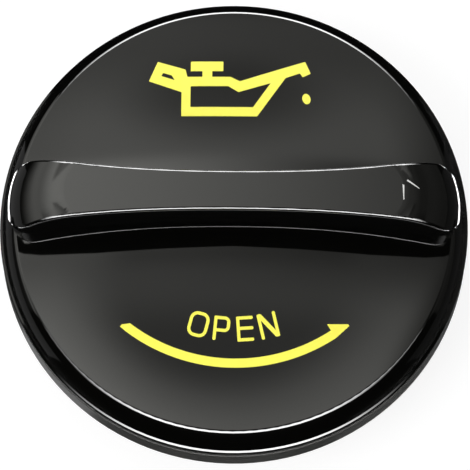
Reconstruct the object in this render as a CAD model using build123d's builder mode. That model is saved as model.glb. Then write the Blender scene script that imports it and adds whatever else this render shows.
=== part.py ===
from build123d import *
from math import cos, radians, sin, sqrt, tan
import os

# Quarter-turn oil filler cap, in millimetres, +Z up along the cap's axis.
# The origin is on that axis, in the plane where the seal meets the filler neck.
# The grip bar runs along X.

# Overall
cap_diameter = 72.0          # at the foot of the ring under the lip, before its edge is rounded

# Head cover: domed face, flank, lip and skirt
rim_height = 10.1            # crease between face and flank, above the sealing plane
face_rise = 2.35             # dome of the face, from that crease to the centre
flank_run = 2.77             # from that crease out to the lip's edge
flank_drop = 3.36            # and down to it
flank_bulge = 0.3
lip_ledge = 0.43             # narrow ledge between the flank's foot and the lip's edge
ledge_fall = 28.0            # its slope in degrees
lip_edge = 1.03              # height of the lip's upright edge
lip_rounding = 0.4
cover_wall = 2.2
skirt_wall = 1.9
rim_rounding = 0.9
ceiling_rounding = 1.0

# Grip bar across the face
crown_height = 10.83         # crown above the rim crease
waist_half_width = 2.93
arm_half_width = 3.43        # half way from the waist to the end
end_half_width = 5.4
grip_overhang = 0.4          # the bar ends this far outside the rim crease
nose_arc = 14.0              # plan radius of the bar's ends
nose_flat = 5.0              # the crown is flat to this distance from the axis of that arc
roll_radius = 9.6            # from the crown down over the nose
corner_rounding = 3.4        # upright corners of the nose
crown_rounding = 0.45        # edge all round the crown and the noses
root_fillet = 0.05           # where the walls meet the face
root_depth = 2.0             # how far the bar is rooted in the head, below the rim crease

# Core that hollows the grip from below
grip_wall = 1.75
tip_wall = 4.0

# Plug body: ring under the lip, flange, collar and hollow barrel
shadow_gap = 1.0             # open joint between lip and ring
ring_proud = 0.73            # foot of the ring outside the lip
ring_taper = 0.6             # the ring is smaller by this at its top
ring_wall = 2.3
ring_rounding = 0.15
flange_thickness = 3.2
channel_depth = 1.8          # round the tray, where the cover's skirt stands
channel_wall = 3.3           # between that channel and the seal's groove
collar_step = 2.8            # collar outside the barrel
collar_length = 2.0          # below the sealing plane
collar_rounding = 0.6
barrel_radius = 15.5
barrel_wall = 2.2
barrel_length = 17.0         # below the sealing plane
barrel_rounding = 0.5
core_roof = 3.0              # between the hollow barrel and the inside of the cap
core_rounding = 1.5

# Bayonet lugs on the barrel
lug_count = 2
lug_reach = 2.5
lug_angle = 46.0
lug_height = 4.0
lug_lift = 1.5               # above the barrel's end
lug_ramp = 1.3               # the cam face falls by this towards the end that enters first
lug_rounding = 0.5
lug_root = 0.8               # depth in the barrel's wall

# Neck seal in the groove under the flange
seal_width = 4.7
seal_thickness = 2.5
seal_proud = 0.7             # how far it stands below the flange
seal_rounding = 0.7

# Snap bead and drive keys between cover and plug body
bead_height = 0.25
bead_half_width = 0.6
key_count = 4
key_angle = 45.0
key_width = 6.0
key_height = 1.6
key_depth = 2.4

# Clearances
skirt_clearance = 0.12
bead_clearance = 0.05
key_clearance = 0.15
seal_clearance = 0.1

# Radii and heights that follow
ring_radius = cap_diameter / 2
lip_radius = ring_radius - ring_proud
rim_radius = lip_radius - flank_run
dome_radius = (rim_radius**2 + face_rise**2) / (2 * face_rise)
crest_height = rim_height + face_rise
lip_height = rim_height - flank_drop
lip_underside = lip_height - lip_edge
crown_top = rim_height + crown_height

grip_end = rim_radius + grip_overhang
nose_axis = grip_end - nose_arc
corner_reach = nose_axis + sqrt(nose_arc**2 - end_half_width**2)

ring_top = lip_underside - shadow_gap
ring_top_radius = ring_radius - ring_taper
ring_inner_radius = ring_top_radius - ring_wall
skirt_radius = ring_inner_radius - skirt_clearance
skirt_inner_radius = skirt_radius - skirt_wall
flange_bottom = seal_proud
tray_floor = flange_bottom + flange_thickness
channel_floor = tray_floor - channel_depth
bead_middle = (channel_floor + ring_top) / 2
bead_top = bead_middle + bead_half_width
bead_bottom = bead_middle - bead_half_width

collar_radius = barrel_radius + collar_step
core_radius = barrel_radius - barrel_wall
core_top = tray_floor - core_roof
seal_inner_radius = collar_radius + seal_clearance
seal_outer_radius = seal_inner_radius + seal_width
groove_radius = seal_outer_radius + seal_clearance
channel_inner_radius = groove_radius + channel_wall


def hollow_side(side, inset):
    """One hollow side of the grip's plan, moved inwards by the inset."""
    Spline(
        (-corner_reach, side * (end_half_width - inset)),
        (-corner_reach / 2, side * (arm_half_width - inset)),
        (0, side * (waist_half_width - inset)),
        (corner_reach / 2, side * (arm_half_width - inset)),
        (corner_reach, side * (end_half_width - inset)),
    )


# Plan of the grip bar: hollow sides between two arcs
with BuildSketch() as grip_plan:
    with BuildLine():
        for side in (1, -1):
            hollow_side(side, 0)
            ThreePointArc(
                (side * corner_reach, -end_half_width),
                (side * grip_end, 0),
                (side * corner_reach, end_half_width),
            )
    make_face()
    fillet(grip_plan.vertices(), radius=corner_rounding)

# Plan of the core inside the bar's walls
with BuildSketch() as core_plan:
    with BuildLine():
        core_end = end_half_width - grip_wall
        for side in (1, -1):
            hollow_side(side, grip_wall)
            Line((side * corner_reach, -core_end), (side * corner_reach, core_end))
    make_face()
    Rectangle(2 * (grip_end - tip_wall), cap_diameter, mode=Mode.INTERSECT)


def grip_form(plan, inset, depth):
    """A plan raised to the crown, under a slot-shaped form whose top edge rolls down over the noses."""
    with BuildPart() as rolled:
        with BuildSketch(Plane.XY.offset(crown_top - inset)):
            SlotCenterToCenter(2 * nose_axis, 2 * (nose_flat + roll_radius - inset))
        extrude(amount=-(crown_height + depth + roll_radius))
        fillet(rolled.faces().sort_by(Axis.Z)[-1].edges(), radius=roll_radius - inset)
    with BuildPart() as form:
        with BuildSketch(Plane.XY.offset(rim_height - depth)):
            add(plan)
        extrude(amount=crown_height + depth - inset)
        add(rolled.part, mode=Mode.INTERSECT)
    return form.part


# Grip bar with the edge round its crown and its noses rounded
with BuildPart() as grip:
    add(grip_form(grip_plan.sketch, 0, root_depth))
    top_edges = grip.edges().filter_by_position(Axis.Z, rim_height, crown_top)
    fillet(top_edges.filter_by(GeomType.BSPLINE), radius=crown_rounding)

# Head cover: a turned form with the grip on top, hollowed from below
with BuildPart() as head_cover:
    with BuildSketch(Plane.YZ) as cover_profile:
        with BuildLine():
            TangentArc((0, crest_height), (rim_radius, rim_height), tangent=(1, 0))
            flank_foot = (lip_radius - lip_ledge, lip_height + lip_ledge * tan(radians(ledge_fall)))
            SagittaArc((rim_radius, rim_height), flank_foot, flank_bulge)
            Polyline(
                flank_foot,
                (lip_radius, lip_height),
                (lip_radius, lip_underside),
                (skirt_radius, lip_underside),
                (skirt_radius, bead_top),
            )
            bead = (skirt_radius + bead_height, bead_middle)
            ThreePointArc((skirt_radius, bead_top), bead, (skirt_radius, bead_bottom))
            Polyline(
                (skirt_radius, bead_bottom),
                (skirt_radius, channel_floor),
                (0, channel_floor),
                (0, crest_height),
            )
        make_face()
        rim = cover_profile.vertices().sort_by_distance((rim_radius, rim_height))[0]
        fillet(rim, radius=rim_rounding)
        lip = cover_profile.vertices().sort_by_distance((lip_radius, lip_height))[0]
        fillet(lip, radius=lip_rounding)
    revolve(axis=Axis.Z)
    add(grip.part)

    # Feet of the grip's two walls, one of them parted by the seam of the turned face
    face_edges = head_cover.edges().filter_by_position(Axis.Z, rim_height, crest_height)
    feet = face_edges.filter_by(GeomType.BSPLINE).sort_by(SortBy.LENGTH)[-3:]
    fillet(feet, radius=root_fillet)

    # Inside: a ceiling that follows the dome, and the core up into the grip
    with BuildSketch(Plane.YZ) as inner_profile:
        ceiling = crest_height - cover_wall
        drop = dome_radius - sqrt(dome_radius**2 - skirt_inner_radius**2)
        with BuildLine():
            TangentArc((0, ceiling), (skirt_inner_radius, ceiling - drop), tangent=(1, 0))
            Polyline(
                (skirt_inner_radius, ceiling - drop),
                (skirt_inner_radius, channel_floor),
                (0, channel_floor),
                (0, ceiling),
            )
        make_face()
        inner_corner = inner_profile.vertices().sort_by_distance((skirt_inner_radius, ceiling))[0]
        fillet(inner_corner, radius=ceiling_rounding)
    revolve(axis=Axis.Z, mode=Mode.SUBTRACT)
    add(grip_form(core_plan.sketch, grip_wall, root_depth + cover_wall), mode=Mode.SUBTRACT)

    # Notches in the skirt for the drive keys
    with BuildSketch(Plane.XY.offset(channel_floor)):
        with PolarLocations(skirt_radius, key_count, start_angle=key_angle):
            Rectangle(2 * key_depth, key_width + 2 * key_clearance)
    extrude(amount=key_height + key_clearance, mode=Mode.SUBTRACT)
head_cover.part.label = "head_cover"

# One bayonet lug: a sector round the barrel, its upper side cut to a ramp
with BuildPart() as lug:
    lug_bottom = lug_lift - barrel_length
    lug_top = lug_bottom + lug_height
    lug_radius = barrel_radius + lug_reach
    first_side = radians(-lug_angle / 2)
    radial_plane = Plane(
        origin=(0, 0, 0),
        x_dir=(cos(first_side), sin(first_side), 0),
        z_dir=(sin(first_side), -cos(first_side), 0),
    )
    with BuildSketch(radial_plane) as lug_profile:
        with BuildLine():
            Polyline(
                (barrel_radius - lug_root, lug_bottom),
                (lug_radius, lug_bottom),
                (lug_radius, lug_top),
                (barrel_radius - lug_root, lug_top),
                close=True,
            )
        make_face()
        fillet(lug_profile.vertices().sort_by_distance((lug_radius, lug_bottom))[0], radius=lug_rounding)
    revolve(axis=Axis.Z, revolution_arc=lug_angle)
    lug_chord = 2 * lug_radius * sin(radians(lug_angle / 2))
    cam_face = Plane(origin=(lug_radius, 0, lug_top - lug_ramp / 2), z_dir=(0, -lug_ramp / lug_chord, 1))
    split(bisect_by=cam_face, keep=Keep.BOTTOM)

# Plug body: tray and channel that take the cover, flange, collar and barrel in one turn
with BuildPart() as plug_body:
    with BuildSketch(Plane.XZ) as plug_profile:
        with BuildLine():
            Polyline(
                (0, tray_floor),
                (channel_inner_radius, tray_floor),
                (channel_inner_radius, channel_floor),
                (ring_inner_radius, channel_floor),
                (ring_inner_radius, bead_bottom),
            )
            groove = (ring_inner_radius + bead_height + bead_clearance, bead_middle)
            ThreePointArc((ring_inner_radius, bead_bottom), groove, (ring_inner_radius, bead_top))
            Polyline(
                (ring_inner_radius, bead_top),
                (ring_inner_radius, ring_top),
                (ring_top_radius, ring_top),
                (ring_radius, flange_bottom),
                (groove_radius, flange_bottom),
                (groove_radius, seal_thickness),
                (collar_radius, seal_thickness),
                (collar_radius, -collar_length),
                (barrel_radius, -collar_length),
                (barrel_radius, -barrel_length),
                (core_radius, -barrel_length),
                (core_radius, core_top),
                (0, core_top),
                (0, tray_floor),
            )
        make_face()
        corners = plug_profile.vertices()
        ring_edges = corners.filter_by_position(Axis.X, ring_top_radius, ring_radius)
        fillet(ring_edges, radius=ring_rounding)
        fillet(corners.sort_by_distance((collar_radius, -collar_length))[0], radius=collar_rounding)
        fillet(corners.group_by(Axis.Y)[0], radius=barrel_rounding)
        fillet(corners.sort_by_distance((core_radius, core_top))[0], radius=core_rounding)
    revolve(axis=Axis.Z)
    with PolarLocations(0, lug_count):
        add(lug.part)
    with BuildSketch(Plane.XY.offset(channel_floor)):
        with PolarLocations(ring_inner_radius - key_depth / 2, key_count, start_angle=key_angle):
            Rectangle(key_depth + ring_wall, key_width)
    extrude(amount=key_height)
plug_body.part.label = "plug_body"

# Neck seal: a flat ring with rounded lower edges
with BuildPart() as neck_seal:
    with BuildSketch(Plane.XZ) as seal_profile:
        with Locations(((seal_inner_radius + seal_outer_radius) / 2, seal_thickness / 2)):
            Rectangle(seal_width, seal_thickness)
        fillet(seal_profile.vertices().group_by(Axis.Y)[0], radius=seal_rounding)
    revolve(axis=Axis.Z)
neck_seal.part.label = "neck_seal"

os.makedirs("parts", exist_ok=True)
for piece in (head_cover, plug_body, neck_seal):
    export_step(piece.part, f"parts/{piece.part.label}.step")
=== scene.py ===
from math import cos, radians, sin

import bmesh
import bpy
from mathutils import Matrix, Vector
from mathutils.bvhtree import BVHTree


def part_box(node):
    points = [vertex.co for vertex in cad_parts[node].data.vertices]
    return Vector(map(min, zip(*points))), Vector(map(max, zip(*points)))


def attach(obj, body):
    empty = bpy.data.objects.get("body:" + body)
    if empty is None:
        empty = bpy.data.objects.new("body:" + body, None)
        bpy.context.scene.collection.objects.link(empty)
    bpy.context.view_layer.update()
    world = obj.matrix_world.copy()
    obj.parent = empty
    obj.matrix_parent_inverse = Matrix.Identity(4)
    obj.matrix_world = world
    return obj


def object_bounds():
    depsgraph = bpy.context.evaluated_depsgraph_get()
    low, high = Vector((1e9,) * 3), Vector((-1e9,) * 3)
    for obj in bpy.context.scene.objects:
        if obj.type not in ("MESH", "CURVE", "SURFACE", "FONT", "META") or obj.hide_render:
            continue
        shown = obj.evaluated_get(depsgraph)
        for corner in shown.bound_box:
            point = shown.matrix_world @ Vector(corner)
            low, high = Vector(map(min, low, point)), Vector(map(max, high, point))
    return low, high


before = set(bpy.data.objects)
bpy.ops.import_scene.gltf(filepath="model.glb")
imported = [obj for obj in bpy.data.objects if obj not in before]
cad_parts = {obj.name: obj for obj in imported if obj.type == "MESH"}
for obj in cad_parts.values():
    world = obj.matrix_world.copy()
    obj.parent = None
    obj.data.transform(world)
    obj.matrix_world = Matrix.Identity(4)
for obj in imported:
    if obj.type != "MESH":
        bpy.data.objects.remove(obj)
cad_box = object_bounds()

# Plug body: the ring seen under the lip, the flange, the collar and the hollow barrel with two lugs.
# One moulding of glass-filled plastic, matt black, with the fine grain of an eroded mould.
# The cover snaps into its tray, and the barrel goes down into the engine's filler neck.
MM = 0.001
plug_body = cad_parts["plug_body"]


def moulded_finish(name, tones, tone_size, gloss, grain_size, grain_depth, sheen=0.5):
    """A moulded surface: its tone and its roughness drift over it, and a fine grain stands up from it."""
    finish = bpy.data.materials.new(name)
    finish.use_nodes = True
    nodes = finish.node_tree.nodes
    link = finish.node_tree.links.new
    surface = nodes["Principled BSDF"]
    surface.inputs["Specular IOR Level"].default_value = sheen
    place = nodes.new("ShaderNodeTexCoord")

    drift = nodes.new("ShaderNodeTexNoise")
    drift.inputs["Scale"].default_value = 1 / tone_size
    drift.inputs["Detail"].default_value = 4
    link(place.outputs["Object"], drift.inputs["Vector"])
    tone = nodes.new("ShaderNodeMix")
    tone.data_type = "RGBA"
    tone.inputs["A"].default_value = (*tones[0], 1)
    tone.inputs["B"].default_value = (*tones[1], 1)
    link(drift.outputs["Fac"], tone.inputs["Factor"])
    link(tone.outputs["Result"], surface.inputs["Base Color"])
    shine = nodes.new("ShaderNodeMapRange")
    shine.inputs["To Min"].default_value = gloss[0]
    shine.inputs["To Max"].default_value = gloss[1]
    link(drift.outputs["Fac"], shine.inputs["Value"])
    link(shine.outputs["Result"], surface.inputs["Roughness"])

    grain = nodes.new("ShaderNodeTexNoise")
    grain.inputs["Scale"].default_value = 1 / grain_size
    grain.inputs["Detail"].default_value = 2
    link(place.outputs["Object"], grain.inputs["Vector"])
    relief = nodes.new("ShaderNodeBump")
    relief.inputs["Distance"].default_value = grain_depth
    link(grain.outputs["Fac"], relief.inputs["Height"])
    link(relief.outputs["Normal"], surface.inputs["Normal"])
    return finish


plug_body.data.materials[0] = moulded_finish(
    "matt_black_plastic",
    tones=((0.026, 0.026, 0.025), (0.036, 0.036, 0.034)),
    tone_size=9 * MM,
    gloss=(0.40, 0.52),
    grain_size=0.35 * MM,
    grain_depth=0.012 * MM,
    sheen=0.18,
)

# Neck seal: the flat ring in the groove under the flange, round the collar.
# Oil-resistant black rubber, pressed from a sheet, with a dull talc bloom on it.
neck_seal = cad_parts["neck_seal"]
neck_seal.data.materials[0] = moulded_finish(
    "seal_rubber",
    tones=((0.012, 0.012, 0.013), (0.028, 0.028, 0.029)),
    tone_size=4 * MM,
    gloss=(0.62, 0.80),
    grain_size=0.2 * MM,
    grain_depth=0.010 * MM,
)

# Head cover: the domed face, its rim, flank and lip, and the waisted grip bar across it, in one piece.
# Black plastic from a polished mould, so that it mirrors the lights. It snaps over the plug body's tray.
head_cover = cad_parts["head_cover"]
head_cover.data.materials[0] = moulded_finish(
    "gloss_black_plastic",
    tones=((0.0010, 0.0010, 0.0008), (0.0018, 0.0018, 0.0015)),
    tone_size=14 * MM,
    gloss=(0.06, 0.09),
    grain_size=1.2 * MM,
    grain_depth=0.0001 * MM,
)
even_shading = head_cover.modifiers.new("even_shading", "WEIGHTED_NORMAL")
even_shading.mode = "CORNER_ANGLE"

# Oil can on the back half of the face: a can with handle, filler cap and spout, and a drop under it.
# Opaque yellow ink, pad printed on the finished cover, about as thick as a coat of paint.
# The outlines are in millimetres from the middle of the face.
ink_proud = 0.05 * MM
ink_depth = 0.07 * MM
ink_pitch = 1.5 * MM
head_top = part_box("head_cover")[1].z
above_head = head_top + 10 * MM
head_surface = BVHTree.FromObject(head_cover, bpy.context.evaluated_depsgraph_get())
yellow_ink = moulded_finish(
    "yellow_ink",
    tones=((1.0, 0.93, 0.085), (0.98, 0.95, 0.105)),
    tone_size=3 * MM,
    gloss=(0.45, 0.60),
    grain_size=0.3 * MM,
    grain_depth=0.001 * MM,
    sheen=0.15,
)


def add_outline(bm, corners, roundings):
    """A closed flat outline in millimetres, with each corner rounded to its radius."""
    ring = [bm.verts.new((x * MM, y * MM, 0)) for x, y in corners]
    bm.faces.new(ring)
    for radius in sorted(set(roundings) - {0}):
        turned = [vertex for vertex, rounding in zip(ring, roundings) if rounding == radius]
        bmesh.ops.bevel(
            bm,
            geom=turned,
            offset=radius * MM,
            offset_type="OFFSET",
            affect="VERTICES",
            segments=5,
            profile=0.5,
            material=-1,
        )
    bmesh.ops.delete(bm, geom=bm.faces[:], context="FACES_ONLY")


def lay_on_head(bm, proud):
    """Drops every vertex on the head cover from above, and leaves it proud by that much."""
    for vertex in bm.verts:
        above = Vector((vertex.co.x, vertex.co.y, above_head))
        vertex.co.z = head_surface.ray_cast(above, Vector((0, 0, -1)))[0].z + proud


def make_piece(name, bm, material):
    """Makes an object of a finished mesh, with one material."""
    mesh = bpy.data.meshes.new(name)
    bm.to_mesh(mesh)
    bm.free()
    mesh.materials.append(material)
    piece = bpy.data.objects.new(name, mesh)
    bpy.context.scene.collection.objects.link(piece)
    return piece


def lay_film(name, bm, material):
    """Cuts a flat figure into small faces, lays it on the head, thickens it and makes it a piece."""
    for axis in (Vector((1, 0, 0)), Vector((0, 1, 0))):
        low = min(vertex.co.dot(axis) for vertex in bm.verts)
        high = max(vertex.co.dot(axis) for vertex in bm.verts)
        for cut in range(1, int((high - low) / ink_pitch) + 1):
            whole = bm.verts[:] + bm.edges[:] + bm.faces[:]
            bmesh.ops.bisect_plane(bm, geom=whole, plane_co=axis * (low + cut * ink_pitch), plane_no=axis)
    bmesh.ops.recalc_face_normals(bm, faces=bm.faces)
    if sum(face.normal.z for face in bm.faces) < 0:
        bmesh.ops.reverse_faces(bm, faces=bm.faces)
    lay_on_head(bm, ink_proud)
    bmesh.ops.solidify(bm, geom=bm.faces, thickness=ink_depth)
    bmesh.ops.recalc_face_normals(bm, faces=bm.faces)
    piece = make_piece(name, bm, material)
    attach(piece, "root")


handle_top = [(-11.79, 23.67), (-7.52, 22.29), (-7.22, 21.05)]
filler_cap = [
    (-4.94, 21.05), (-4.94, 22.02), (-6.73, 22.02), (-6.73, 23.66),
    (-1.77, 23.66), (-1.77, 22.02), (-3.45, 22.02), (-3.45, 21.05),
]
spout = [
    (-0.66, 21.05), (0.77, 20.3), (10.72, 23.82), (11.53, 21.79),
    (10.29, 21.15), (9.88, 21.81), (7.71, 20.97), (3.38, 14.46),
]
foot_and_handle = [(-8.02, 14.46), (-8.06, 18.47), (-13.07, 20.36)]
can_outline = handle_top + filler_cap + spout + foot_and_handle
can_hollow = [(-6.7, 19.47), (-0.99, 19.47), (0.56, 18.47), (5.43, 20.05), (2.75, 15.97), (-6.68, 15.97)]
handle_hollow = [(-10.94, 21.76), (-9.6, 21.33), (-9.14, 20.51), (-11.2, 21.22)]
can_rounding = 0.12
oil_can = bmesh.new()
for outline in (can_outline, can_hollow, handle_hollow):
    add_outline(oil_can, outline, [can_rounding] * len(outline))
bmesh.ops.triangle_fill(oil_can, edges=oil_can.edges, use_beauty=True)
lay_film("print_oil_can", oil_can, yellow_ink)

drop_middle = Vector((10.82, 17.5, 0))
drop_half_axes = (0.62, 0.88)
drop_lean = radians(10)
oil_drop = bmesh.new()
bmesh.ops.create_circle(oil_drop, cap_ends=True, segments=32, radius=MM)
bmesh.ops.scale(oil_drop, vec=(*drop_half_axes, 1), verts=oil_drop.verts)
bmesh.ops.rotate(oil_drop, matrix=Matrix.Rotation(drop_lean, 3, "Z"), verts=oil_drop.verts)
bmesh.ops.translate(oil_drop, vec=drop_middle * MM, verts=oil_drop.verts)
lay_film("print_oil_drop", oil_drop, yellow_ink)

# Arrow under the word: a curved band that ends in a half head, for the turn that frees the cap.
# The same yellow ink, in the same pass of the printing pad.
arc_middle = Vector((0.21, 2.6, 0))
band_radii = (24.86, 26.15)
band_tail = radians(-37.2)
band_neck = radians(33.8)
tail_corners = [(-16.27, -17.66), (-16.02, -17.36)]
head_corners = [(16.72, -17.33), (16.52, -17.12), (13.49, -17.18)]
arrow = bmesh.new()
band_end = [arrow.verts.new((arc_middle + Vector((0, -radius, 0))) * MM) for radius in band_radii]
band_edge = arrow.edges.new(band_end)
bmesh.ops.rotate(
    arrow, cent=arc_middle * MM, matrix=Matrix.Rotation(band_tail, 3, "Z"), verts=arrow.verts
)
swept = bmesh.ops.spin(
    arrow,
    geom=[band_edge],
    cent=arc_middle * MM,
    axis=(0, 0, 1),
    angle=band_neck - band_tail,
    steps=48,
)
neck = [item for item in swept["geom_last"] if isinstance(item, bmesh.types.BMVert)]
neck.sort(key=lambda vertex: (vertex.co - arc_middle * MM).length)
for end, corners in ((band_end, tail_corners), (neck, head_corners)):
    arrow.faces.new(end + [arrow.verts.new((x * MM, y * MM, 0)) for x, y in corners])
lay_film("print_arrow", arrow, yellow_ink)

# The word that goes with the arrow, its four letters fanned on an arc inside it.
# Plain rounded capitals in the same ink. Each letter is drawn round its own middle, in millimetres.
letter_arc = 20.63
letter_pitch = radians(9.37)
letter_stroke = 0.46
tip_rounding = 0.2
corner_rounding = 0.15
middle_of_row = 1.555


def box_outline(width, height, middle=(0, 0)):
    """The four corners of an upright box, anticlockwise from its lower left."""
    x, y = middle
    return [
        (x - width / 2, y - height / 2),
        (x + width / 2, y - height / 2),
        (x + width / 2, y + height / 2),
        (x - width / 2, y + height / 2),
    ]


def letter_o(bm):
    """A tall ring with round corners."""
    width, height, bend = 2.9, 3.65, 1.15
    add_outline(bm, box_outline(width, height), [bend] * 4)
    inner = box_outline(width - 2 * letter_stroke, height - 2 * letter_stroke)
    add_outline(bm, inner, [bend - letter_stroke] * 4)


def letter_p(bm):
    """A stem with a bowl on its upper part."""
    width, height, bowl, bend = 2.35, 3.5, 2.25, 0.8
    left, right, top, foot = -width / 2, width / 2, height / 2, -height / 2
    stem, under = left + letter_stroke, top - bowl
    corners = [(left, foot), (stem, foot), (stem, under), (right, under), (right, top), (left, top)]
    add_outline(bm, corners, [tip_rounding, tip_rounding, 0, bend, bend, corner_rounding])
    hole_middle = ((stem + right - letter_stroke) / 2, top - bowl / 2)
    hole = box_outline(width - 2 * letter_stroke, bowl - 2 * letter_stroke, hole_middle)
    add_outline(bm, hole, [0, bend - letter_stroke, bend - letter_stroke, 0])


def letter_e(bm):
    """A stem with three arms, the middle one a little above half height."""
    width, height, waist = 2.4, 3.6, 0.08
    left, right, top, foot = -width / 2, width / 2, height / 2, -height / 2
    stem, half = left + letter_stroke, letter_stroke / 2
    corners = [
        (left, foot), (right, foot), (right, foot + letter_stroke), (stem, foot + letter_stroke),
        (stem, waist - half), (right, waist - half), (right, waist + half), (stem, waist + half),
        (stem, top - letter_stroke), (right, top - letter_stroke), (right, top), (left, top),
    ]
    tips = [tip_rounding, tip_rounding]
    add_outline(bm, corners, [corner_rounding, *tips, 0, 0, *tips, 0, 0, *tips, corner_rounding])


def letter_n(bm):
    """Two stems and the slanting stroke between them."""
    width, height, joint, shoulder = 2.7, 3.7, 0.62, 0.95
    left, right, top, foot = -width / 2, width / 2, height / 2, -height / 2
    corners = [
        (left, foot), (left + letter_stroke, foot), (left + letter_stroke, top - shoulder),
        (right - joint, foot), (right, foot), (right, top), (right - letter_stroke, top),
        (right - letter_stroke, foot + shoulder), (left + joint, top), (left, top),
    ]
    half_turn = [tip_rounding, tip_rounding, 0, corner_rounding, tip_rounding]
    add_outline(bm, corners, half_turn * 2)


word = bmesh.new()
for place, letter in enumerate((letter_o, letter_p, letter_e, letter_n)):
    before = set(word.verts)
    letter(word)
    turn = (place - middle_of_row) * letter_pitch
    foot_of_radius = arc_middle + letter_arc * Vector((sin(turn), -cos(turn), 0))
    set_down = Matrix.Translation(foot_of_radius * MM) @ Matrix.Rotation(turn, 4, "Z")
    bmesh.ops.transform(word, matrix=set_down, verts=[v for v in word.verts if v not in before])
bmesh.ops.triangle_fill(word, edges=word.edges, use_beauty=True)
lay_film("print_word", word, yellow_ink)

# Chevron near the right end of the grip's crown: two fine strokes that do not quite meet.
# Moulded proud of the cover with the crown. Their pale colour is a painted highlight: the glint of light on
# the strokes, laid into their colour.
# The strokes run from a broad start to a thin end, in millimetres.
upper_stroke = (Vector((24.34, 1.53)), Vector((26.06, 0.37)))
lower_stroke = (Vector((23.79, 0.84)), Vector((23.78, -1.37)))
stroke_width = 0.24
thin_end_share = 0.4
stroke_rounding = 0.04
# Pale tone of the strokes: a painted highlight standing in for the glint on their edges, not wear.
painted_glint_plastic = moulded_finish(
    "painted_glint_plastic",
    tones=((0.62, 0.62, 0.60), (0.85, 0.85, 0.83)),
    tone_size=0.8 * MM,
    gloss=(0.20, 0.32),
    grain_size=0.3 * MM,
    grain_depth=0.001 * MM,
)
chevron = bmesh.new()
for start, end in (upper_stroke, lower_stroke):
    run = (end - start).normalized()
    half_start = Vector((-run.y, run.x)) * stroke_width / 2
    half_end = half_start * thin_end_share
    corners = [start - half_start, end - half_end, end + half_end, start + half_start]
    add_outline(chevron, corners, [stroke_rounding] * 4)
bmesh.ops.triangle_fill(chevron, edges=chevron.edges, use_beauty=True)
lay_film("crown_chevron", chevron, painted_glint_plastic)

# Floor: a plain white table that the plug stands on.
# It shows white to the camera and in mirrors, and keeps the cap's soft shadow.
floor_height = cad_box[0].z
table_reach = 4
table_tone = 0.4
table_white = 0.7


def stage_piece(name, bm, material, seen_only_in_mirrors):
    """Makes a mesh part of the studio. What is seen only in mirrors lights nothing and hides nothing."""
    piece = make_piece(name, bm, material)
    if seen_only_in_mirrors:
        piece.visible_camera = False
        piece.visible_diffuse = False
        piece.visible_shadow = False
        piece.visible_transmission = False


def combine(tree, operation, *values):
    """A maths node on sockets or numbers."""
    node = tree.nodes.new("ShaderNodeMath")
    node.operation = operation
    for socket, value in zip(node.inputs, values):
        if isinstance(value, (int, float)):
            socket.default_value = value
        else:
            tree.links.new(value, socket)
    return node.outputs[0]


def background_share(tree):
    """1 for the rays that show the background: the camera's, and those of mirrors and glass."""
    path = tree.nodes.new("ShaderNodeLightPath")
    share = path.outputs["Is Camera Ray"]
    for other in ("Is Glossy Ray", "Is Transmission Ray"):
        share = combine(tree, "MAXIMUM", share, path.outputs[other])
    return share


white_table = bpy.data.materials.new("white_table")
white_table.use_nodes = True
tree = white_table.node_tree
paper = tree.nodes["Principled BSDF"]
paper.inputs["Base Color"].default_value = (table_tone, table_tone, table_tone, 1)
paper.inputs["Roughness"].default_value = 1
paper.inputs["Specular IOR Level"].default_value = 0
paper.inputs["Emission Color"].default_value = (1, 1, 1, 1)
table_glow = combine(tree, "MULTIPLY", background_share(tree), table_white)
tree.links.new(table_glow, paper.inputs["Emission Strength"])
table = bmesh.new()
bmesh.ops.create_grid(table, x_segments=1, y_segments=1, size=table_reach)
bmesh.ops.translate(table, vec=(0, 0, floor_height), verts=table.verts)
stage_piece("white_table", table, white_table, seen_only_in_mirrors=False)

# White room round the table: even light from all sides, at a plain level.
# The camera sees it as pure white.
room_level = 0.8
world = bpy.data.worlds.new("white_room")
bpy.context.scene.world = world
world.use_nodes = True
tree = world.node_tree
background = tree.nodes["Background"]
background.inputs["Color"].default_value = (1, 1, 1, 1)
room = tree.nodes.new("ShaderNodeMapRange")
room.inputs["To Min"].default_value = room_level
room.inputs["To Max"].default_value = 1
tree.links.new(background_share(tree), room.inputs["Value"])
tree.links.new(room.outputs["Result"], background.inputs["Strength"])

# Black booth: dark cloth round and over the table, so that the gloss stays black between the lights.
# Its floor is cut away near the cap. Only mirrors see it.
booth_radius = 1.3
booth_height = 1.0
booth_floor_edge = 0.038
booth_floor_height = floor_height + 0.5 * MM
booth_roof_hole = MM
black_level = 0.005
black_cloth = bpy.data.materials.new("black_cloth")
black_cloth.use_nodes = True
cloth = black_cloth.node_tree.nodes["Principled BSDF"]
cloth.inputs["Base Color"].default_value = (0, 0, 0, 1)
cloth.inputs["Specular IOR Level"].default_value = 0
cloth.inputs["Emission Color"].default_value = (1, 1, 1, 1)
cloth.inputs["Emission Strength"].default_value = black_level
booth = bmesh.new()
booth_line = [
    booth.verts.new((booth_floor_edge, 0, booth_floor_height)),
    booth.verts.new((booth_radius, 0, booth_floor_height)),
    booth.verts.new((booth_radius, 0, booth_height)),
    booth.verts.new((booth_roof_hole, 0, booth_height)),
]
booth_edges = [booth.edges.new(pair) for pair in zip(booth_line, booth_line[1:])]
bmesh.ops.spin(
    booth, geom=booth_line + booth_edges, cent=(0, 0, 0), axis=(0, 0, 1), angle=radians(360), steps=64,
    use_merge=True,
)
stage_piece("black_booth", booth, black_cloth, seen_only_in_mirrors=True)

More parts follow.
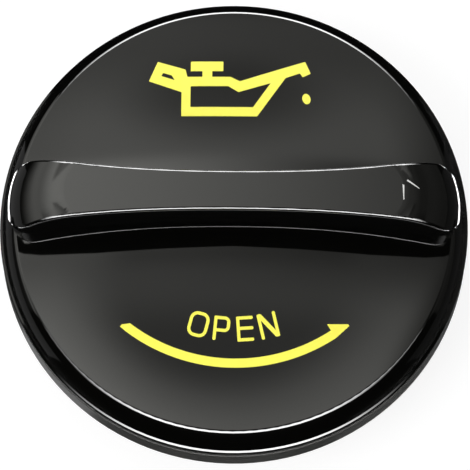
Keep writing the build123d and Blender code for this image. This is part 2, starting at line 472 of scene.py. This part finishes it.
# Overhead softbox: a wide cloth above the cap, brighter to the left, with two dim ovals in it.
# The face and the grip's crown mirror it. Places are in metres: across to the right, along to the back.
# A fade is a start, an end, and the level or the share at each of them.
softbox_height = 0.6
softbox_width = 1.44
softbox_depth = 0.96
softbox_middle = 0.32
cloth_white = (1.0, 1.0, 0.95)
front_to_crown = (0.122, 0.15)
crown_to_back = (0.25, 0.28)
face_to_ends = (0.29, 0.4)
ends_front_fade = (-0.14, 0.1)


def glowing_card(name, colour):
    """A material that only glows, with its tree and the socket for its level."""
    card = bpy.data.materials.new(name)
    card.use_nodes = True
    tree = card.node_tree
    tree.nodes.remove(tree.nodes["Principled BSDF"])
    glow = tree.nodes.new("ShaderNodeEmission")
    glow.inputs["Color"].default_value = (*colour, 1)
    tree.links.new(glow.outputs[0], tree.nodes["Material Output"].inputs["Surface"])
    return card, tree, glow.inputs["Strength"]


def place_along(tree, axis):
    """The place on the card along one axis of the frame, in metres."""
    place = tree.nodes.new("ShaderNodeTexCoord")
    split = tree.nodes.new("ShaderNodeSeparateXYZ")
    tree.links.new(place.outputs["Object"], split.inputs[0])
    return split.outputs[axis]


def soft_step(tree, value, start, end, low=0.0, high=1.0):
    """Goes smoothly from low to high as the value goes from start to end."""
    step = tree.nodes.new("ShaderNodeMapRange")
    step.interpolation_type = "SMOOTHSTEP"
    for socket, number in zip(("From Min", "From Max", "To Min", "To Max"), (start, end, low, high)):
        step.inputs[socket].default_value = number
    tree.links.new(value, step.inputs["Value"])
    return step.outputs["Result"]


def dimmed(tree, glow, *fades):
    """The glow times a soft step for each fade, given as the place that it follows and its numbers."""
    for place, fade in fades:
        glow = combine(tree, "MULTIPLY", glow, soft_step(tree, place, *fade))
    return glow


def oval(tree, middle, half_axes):
    """0 in the middle of an oval on the card and 1 on its outline."""
    place = tree.nodes.new("ShaderNodeTexCoord")
    frame_of_oval = tree.nodes.new("ShaderNodeMapping")
    frame_of_oval.vector_type = "TEXTURE"
    frame_of_oval.inputs["Location"].default_value = (*middle, 0)
    frame_of_oval.inputs["Scale"].default_value = (*half_axes, 1)
    tree.links.new(place.outputs["Object"], frame_of_oval.inputs["Vector"])
    flat = tree.nodes.new("ShaderNodeVectorMath")
    flat.operation = "MULTIPLY"
    flat.inputs[1].default_value = (1, 1, 0)
    tree.links.new(frame_of_oval.outputs[0], flat.inputs[0])
    reach = tree.nodes.new("ShaderNodeVectorMath")
    reach.operation = "LENGTH"
    tree.links.new(flat.outputs[0], reach.inputs[0])
    return reach.outputs["Value"]


def blend(tree, share, first, second):
    """From the first level to the second as the share goes from 0 to 1."""
    mix = tree.nodes.new("ShaderNodeMix")
    tree.links.new(share, mix.inputs["Factor"])
    for socket, value in zip(("A", "B"), (first, second)):
        if isinstance(value, (int, float)):
            mix.inputs[socket].default_value = value
        else:
            tree.links.new(value, mix.inputs[socket])
    return mix.outputs["Result"]


def flat_cloth(width, depth):
    """A level cloth round the origin."""
    bm = bmesh.new()
    bmesh.ops.create_grid(bm, x_segments=1, y_segments=1, size=0.5)
    bmesh.ops.scale(bm, vec=(width, depth, 1), verts=bm.verts)
    return bm


def front_field(tree, across, along, from_middle):
    """The front of the cloth, for the front half of the face: a dim oval in a bright surround."""
    oval_middle, oval_half_axes, oval_edge = (-0.013, 0.08), (0.206, 0.185), (0.62, 1.36)
    inside_levels = (0.0, 0.07, 0.54, 0.87)
    outside_levels = (-0.24, 0.24, 3.9, 2.2)
    outside_fade = (-0.09, 0.19, 1, 0.2)
    right_fade, right_fade_reach = (-0.16, 0.2, 1, 0.66), (0.03, 0.11)
    grip_fade, grip_fade_reach = (0.085, 0.13, 1, 0.55), (0.13, 0.2)
    cloth_edge = (-0.133, -0.123)
    right_edge, right_edge_slant = (0.212, 0.242, 1, 0.25), -0.6

    inside = soft_step(tree, along, *inside_levels)
    outside = dimmed(tree, soft_step(tree, across, *outside_levels), (along, outside_fade))
    from_oval = oval(tree, oval_middle, oval_half_axes)
    front = blend(tree, soft_step(tree, from_oval, *oval_edge), inside, outside)
    right = soft_step(tree, across, *right_fade)
    right = blend(tree, soft_step(tree, along, *right_fade_reach), 1.0, right)
    front = combine(tree, "MULTIPLY", front, right)
    near_grip = soft_step(tree, along, *grip_fade)
    near_grip = blend(tree, soft_step(tree, from_middle, *grip_fade_reach), near_grip, 1.0)
    front = combine(tree, "MULTIPLY", front, near_grip)
    slanted = combine(tree, "MULTIPLY_ADD", along, right_edge_slant, across)
    return dimmed(tree, front, (along, cloth_edge), (slanted, right_edge))


def crown_field(tree, across):
    """The middle of the cloth, for the grip's crown and its rolled ends: it dims from left to right."""
    crown_levels = (-0.2, 0.22, 3.0, 0.4)
    left_end_fade = (-0.72, -0.25, 0.5, 1)
    right_end_fade = (0.22, 0.5, 1, 0.4)
    crown = soft_step(tree, across, *crown_levels)
    return dimmed(tree, crown, (across, left_end_fade), (across, right_end_fade))


def back_field(tree, across, along):
    """The back of the cloth, for the back half of the face: a dim oval behind the oil can."""
    oval_middle, oval_half_axes, oval_fade = (-0.015, 0.376), (0.178, 0.099), (0.3, 1.19, 0.5, 1)
    back_levels = (0.31, 0.483, 1.27, 0.7)
    left_lift = (-0.2, 0.2, 1.3, 1)
    left_edge = (-0.4, -0.22, 0.6, 1)
    right_edge = (0.21, 0.35, 1, 0.1)
    cloth_edge = (0.53, 0.6, 1, 0)
    from_oval = oval(tree, oval_middle, oval_half_axes)
    return dimmed(
        tree,
        soft_step(tree, along, *back_levels),
        (from_oval, oval_fade),
        (across, left_lift),
        (across, left_edge),
        (across, right_edge),
        (along, cloth_edge),
    )


card, tree, level = glowing_card("softbox_cloth", cloth_white)
across = place_along(tree, "X")
along = place_along(tree, "Y")
from_middle = combine(tree, "ABSOLUTE", across)
front = front_field(tree, across, along, from_middle)
crown = crown_field(tree, across)
back = back_field(tree, across, along)
glow = blend(tree, soft_step(tree, along, *front_to_crown), front, crown)
glow = blend(tree, soft_step(tree, along, *crown_to_back), glow, back)
ends = dimmed(tree, crown, (along, ends_front_fade))
tree.links.new(blend(tree, soft_step(tree, from_middle, *face_to_ends), glow, ends), level)
softbox = flat_cloth(softbox_width, softbox_depth)
bmesh.ops.translate(softbox, vec=(0, softbox_middle, softbox_height), verts=softbox.verts)
stage_piece("softbox", softbox, card, seen_only_in_mirrors=True)

# Side cloths: two upright cloths that hang from the softbox to the table, the left one brighter.
# The rolled ends of the grip mirror them, and fade towards the table.
card_lift = MM
side_foot = floor_height + card_lift
side_height = softbox_height - side_foot
side_fade = (0.0, 0.42)
for name, side, dark, bright in (("side_cloth_left", -1, 0.05, 1.4), ("side_cloth_right", 1, 0.1, 0.18)):
    card, tree, level = glowing_card(name, cloth_white)
    tree.links.new(soft_step(tree, place_along(tree, "Z"), *side_fade, dark, bright), level)
    side_place = (side * softbox_width / 2, softbox_middle, side_foot + side_height / 2)
    side_cloth = flat_cloth(side_height, softbox_depth)
    bmesh.ops.rotate(side_cloth, matrix=Matrix.Rotation(radians(90), 3, "Y"), verts=side_cloth.verts)
    bmesh.ops.translate(side_cloth, vec=side_place, verts=side_cloth.verts)
    stage_piece(name, side_cloth, card, seen_only_in_mirrors=True)

# Strip lights: two curved strips half a metre away, one in front and one behind.
# The rounded edges of rim, lip and crown mirror them as fine white lines.
strip_radius = 0.5
soft_edge_share = 0.25
full_light_share = 0.4


def strip_light(name, facing, low, high, reach, brightness):
    """A strip between two elevations, faded towards its edges and its ends."""
    card, tree, level = glowing_card(name, (1, 1, 1))
    height = place_along(tree, "Z")
    from_middle = combine(tree, "ABSOLUTE", place_along(tree, "X"))
    bottom, top = strip_radius * sin(low), strip_radius * sin(high)
    soft = soft_edge_share * (top - bottom)
    end = strip_radius * cos((low + high) / 2) * sin(reach)
    glow = soft_step(tree, height, bottom, bottom + soft, 0, brightness)
    top_fade = (top - soft, top, 1, 0)
    end_fade = (full_light_share * end, end, 1, 0)
    tree.links.new(dimmed(tree, glow, (height, top_fade), (from_middle, end_fade)), level)
    strip = bmesh.new()
    foot = strip.verts.new((0, facing * strip_radius * cos(low), bottom))
    bmesh.ops.spin(strip, geom=[foot], cent=(0, 0, 0), axis=(facing, 0, 0), angle=high - low, steps=12)
    arc = strip.verts[:] + strip.edges[:]
    bmesh.ops.rotate(strip, matrix=Matrix.Rotation(-reach, 3, "Z"), verts=strip.verts)
    bmesh.ops.spin(strip, geom=arc, cent=(0, 0, 0), axis=(0, 0, 1), angle=2 * reach, steps=32)
    stage_piece(name, strip, card, seen_only_in_mirrors=True)


strip_light("front_strip", facing=-1, low=radians(22), high=radians(57), reach=radians(78), brightness=28)
strip_light("back_strip", facing=1, low=radians(12), high=radians(44), reach=radians(42), brightness=24)

# Table cards: bright cards flat on the table beside the grip's ends, dim ones beyond, and one at the left.
# The ends of the grip, the flank and the ring under the lip mirror them.
card_height = floor_height + card_lift


def curved_card(first, last, turn, spread):
    """A card from one radius and height to another, swept round the cap's axis through a spread."""
    bm = bmesh.new()
    side = [bm.verts.new((radius, 0, height)) for radius, height in (first, last)]
    edge = bm.edges.new(side)
    bmesh.ops.rotate(bm, matrix=Matrix.Rotation(turn, 3, "Z"), verts=bm.verts)
    bmesh.ops.spin(bm, geom=side + [edge], cent=(0, 0, 0), axis=(0, 0, 1), angle=spread, steps=24)
    return bm


for name, turn, spread, inner, outer, brightness in (
    ("end_card_right", radians(-55), radians(95), 0.058, 0.069, 10.0),
    ("end_card_left", radians(140), radians(95), 0.058, 0.069, 10.0),
    ("dim_card_right", radians(-30), radians(60), 0.08, 0.5, 0.06),
    ("dim_card_left", radians(150), radians(60), 0.08, 0.5, 0.25),
    ("ring_card", radians(200), radians(30), 0.040, 0.046, 1.5),
):
    card, tree, level = glowing_card(name, (1, 1, 1))
    level.default_value = brightness
    table_card = curved_card((inner, card_height), (outer, card_height), turn, spread)
    stage_piece(name, table_card, card, seen_only_in_mirrors=True)

# Black flags: cards of the booth's cloth. Two low screens keep the end cards off the lip and the flank.
# A narrow one along the front of the grip keeps the softbox off the face next to it.
screen_radius = 0.046
screen_foot = -6 * MM
screen_top = 0.2 * MM
screen_spread = radians(105)
for name, turn in (("low_screen_right", radians(-60)), ("low_screen_left", radians(135))):
    low_screen = curved_card((screen_radius, screen_foot), (screen_radius, screen_top), turn, screen_spread)
    stage_piece(name, low_screen, black_cloth, seen_only_in_mirrors=True)

grip_flag_height = 15
grip_flag_front = [(0, -5.3), (10, -5.6), (20.9, -6.05), (30, -6.0)]
grip_flag_end = [(33, -5.6), (34.6, -4.9), (34.9, -2.6), (33.9, -2.4), (33.0, -3.9), (31, -4.2), (29, 0)]
right_half = grip_flag_front + grip_flag_end
left_half = [(-x, y) for x, y in reversed(right_half[1:])]
grip_flag = bmesh.new()
flag_corners = [Vector((x, y, grip_flag_height)) * MM for x, y in left_half + right_half]
grip_flag.faces.new([grip_flag.verts.new(corner) for corner in flag_corners])
stage_piece("grip_flag", grip_flag, black_cloth, seen_only_in_mirrors=True)

# Key lamp: a soft lamp up on the left, which models the matt pieces.
# Mirrors do not show it.
key_place = Vector((-0.30, -0.20, 0.45))
key_aim = Vector((0, 0, 0))


def stand_and_look(place, aim):
    """The place and turn of a lamp or a camera that looks at a point."""
    return Matrix.Translation(place) @ (aim - place).to_track_quat("-Z", "Y").to_matrix().to_4x4()


key = bpy.data.lights.new("key_lamp", "AREA")
key.shape = "DISK"
key.size = 0.3
key.energy = 0.9
key_lamp = bpy.data.objects.new("key_lamp", key)
bpy.context.scene.collection.objects.link(key_lamp)
key_lamp.matrix_world = stand_and_look(key_place, key_aim)
key_lamp.visible_glossy = False

# Camera: steep from the front, as in the photograph.
# A long lens some 20 cm away, so that the cap fills the frame.
camera_place = Vector((0.28, -56.869, 194.17)) * MM
camera_aim = Vector((0.172, -3.538, 10.1)) * MM
camera_roll = Matrix.Rotation(radians(0.27), 4, "Z")
camera = bpy.data.objects.new("camera", bpy.data.cameras.new("camera"))
camera.data.sensor_width = 36
camera.data.lens = 99.476
camera.data.clip_start = 0.01
bpy.context.scene.collection.objects.link(camera)
camera.matrix_world = stand_and_look(camera_place, camera_aim) @ camera_roll
bpy.context.scene.camera = camera
bpy.context.scene.view_settings.view_transform = "Standard"
